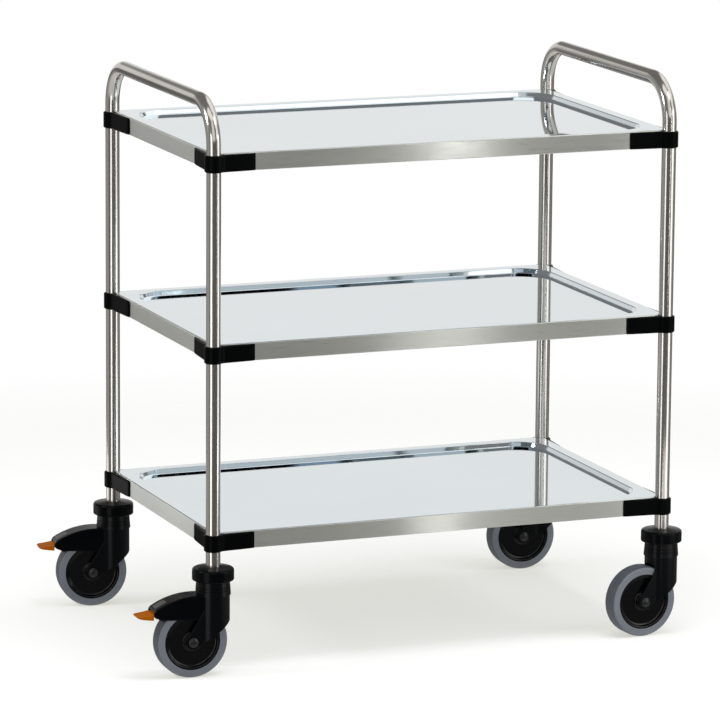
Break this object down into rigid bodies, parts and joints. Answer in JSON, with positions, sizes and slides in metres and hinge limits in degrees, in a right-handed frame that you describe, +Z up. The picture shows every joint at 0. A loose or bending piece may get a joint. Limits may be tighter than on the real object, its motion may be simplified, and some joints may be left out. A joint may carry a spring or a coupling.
{
  "type": "utility trolley",
  "caption": "Stainless utility trolley with sunken-deck trays between bent tube end frames with handle bars, black corner brackets, and swivel castors, braked at one end.",
  "frame": {"origin": "on the floor, midway between the four posts", "axes": "+X along the trolley from the braked end to the plain end, +Y across it to the rear, +Z up"},
  "size_m": [1.0142, 0.6001, 0.994],
  "materials": {
    "tube": "satin",
    "sheet": "polished deck and rim, brushed skirt",
    "bracket": "satin",
    "castor_body": "satin",
    "wheel_core": "gloss",
    "tyre": "matte",
    "axle": "satin",
    "hardware": "plain",
    "bush": "plain",
    "pedal": "satin",
    "inset": "matte",
    "shoe": "matte"
  },
  "bodies": {
    "frame": {"bracket_front_left_bottom": "bracket", "bracket_front_left_middle": "bracket", "bracket_front_left_top": "bracket", "bracket_front_right_bottom": "bracket", "bracket_front_right_middle": "bracket", "bracket_front_right_top": "bracket", "bracket_rear_left_bottom": "bracket", "bracket_rear_left_middle": "bracket", "bracket_rear_left_top": "bracket", "bracket_rear_right_bottom": "bracket", "bracket_rear_right_middle": "bracket", "bracket_rear_right_top": "bracket", "castor_cap_front_left": "castor_body", "castor_cap_front_right": "castor_body", "castor_cap_rear_left": "castor_body", "castor_cap_rear_right": "castor_body", "castor_stems": "hardware", "end_frame_left": "tube", "end_frame_right": "tube", "tray_bottom": "sheet", "tray_middle": "sheet", "tray_screws": "hardware", "tray_top": "sheet"},
    "swivel_front_left": {"axle_bolt_front_left": "axle", "axle_nut_front_left": "hardware", "brake_housing_front_left": "castor_body", "brake_inset_front_left": "inset", "castor_fork_front_left": "castor_body", "swivel_bearings_front_left": "hardware"},
    "wheel_front_left": {"wheel_bushes_front_left": "bush", "wheel_core_front_left": "wheel_core", "wheel_tyre_front_left": "tyre"},
    "swivel_rear_left": {"axle_bolt_rear_left": "axle", "axle_nut_rear_left": "hardware", "brake_housing_rear_left": "castor_body", "brake_inset_rear_left": "inset", "castor_fork_rear_left": "castor_body", "swivel_bearings_rear_left": "hardware"},
    "wheel_rear_left": {"wheel_bushes_rear_left": "bush", "wheel_core_rear_left": "wheel_core", "wheel_tyre_rear_left": "tyre"},
    "swivel_front_right": {"axle_bolt_front_right": "axle", "axle_nut_front_right": "hardware", "castor_fork_front_right": "castor_body", "swivel_bearings_front_right": "hardware"},
    "wheel_front_right": {"wheel_bushes_front_right": "bush", "wheel_core_front_right": "wheel_core", "wheel_tyre_front_right": "tyre"},
    "swivel_rear_right": {"axle_bolt_rear_right": "axle", "axle_nut_rear_right": "hardware", "castor_fork_rear_right": "castor_body", "swivel_bearings_rear_right": "hardware"},
    "wheel_rear_right": {"wheel_bushes_rear_right": "bush", "wheel_core_rear_right": "wheel_core", "wheel_tyre_rear_right": "tyre"},
    "pedal_front_left": {"brake_pedal_front_left": "pedal", "brake_shoe_front_left": "shoe"},
    "pedal_rear_left": {"brake_pedal_rear_left": "pedal", "brake_shoe_rear_left": "shoe"}
  },
  "joints": [
    {"name": "castor_swivel_front_left", "type": "hinge", "parent": "frame", "child": "swivel_front_left", "pos_m": [-0.42, -0.2635, 0.141], "axis": [0, 0, 1], "continuous": true},
    {"name": "wheel_spin_front_left", "type": "hinge", "parent": "swivel_front_left", "child": "wheel_front_left", "pos_m": [-0.46098, -0.26207, 0.0625], "axis": [0.0349, 0.9994, 0], "continuous": true},
    {"name": "brake_pedal_front_left", "type": "hinge", "parent": "swivel_front_left", "child": "pedal_front_left", "pos_m": [-0.52054, -0.25999, 0.1161], "axis": [-0.0349, -0.9994, 0], "range_deg": [0, 10]},
    {"name": "castor_swivel_rear_left", "type": "hinge", "parent": "frame", "child": "swivel_rear_left", "pos_m": [-0.42, 0.2635, 0.141], "axis": [0, 0, 1], "continuous": true},
    {"name": "wheel_spin_rear_left", "type": "hinge", "parent": "swivel_rear_left", "child": "wheel_rear_left", "pos_m": [-0.4606, 0.26921, 0.0625], "axis": [0.1392, 0.9903, 0], "continuous": true},
    {"name": "brake_pedal_rear_left", "type": "hinge", "parent": "swivel_rear_left", "child": "pedal_rear_left", "pos_m": [-0.51962, 0.2775, 0.1161], "axis": [-0.1392, -0.9903, 0], "range_deg": [0, 10]},
    {"name": "castor_swivel_front_right", "type": "hinge", "parent": "frame", "child": "swivel_front_right", "pos_m": [0.42, -0.2635, 0.141], "axis": [0, 0, 1], "continuous": true},
    {"name": "wheel_spin_front_right", "type": "hinge", "parent": "swivel_front_right", "child": "wheel_front_right", "pos_m": [0.37916, -0.26707, 0.0625], "axis": [-0.0872, 0.9962, 0], "continuous": true},
    {"name": "castor_swivel_rear_right", "type": "hinge", "parent": "frame", "child": "swivel_rear_right", "pos_m": [0.42, 0.2635, 0.141], "axis": [0, 0, 1], "continuous": true},
    {"name": "wheel_spin_rear_right", "type": "hinge", "parent": "swivel_rear_right", "child": "wheel_rear_right", "pos_m": [0.37903, 0.26493, 0.0625], "axis": [0.0349, 0.9994, 0], "continuous": true}
  ]
}
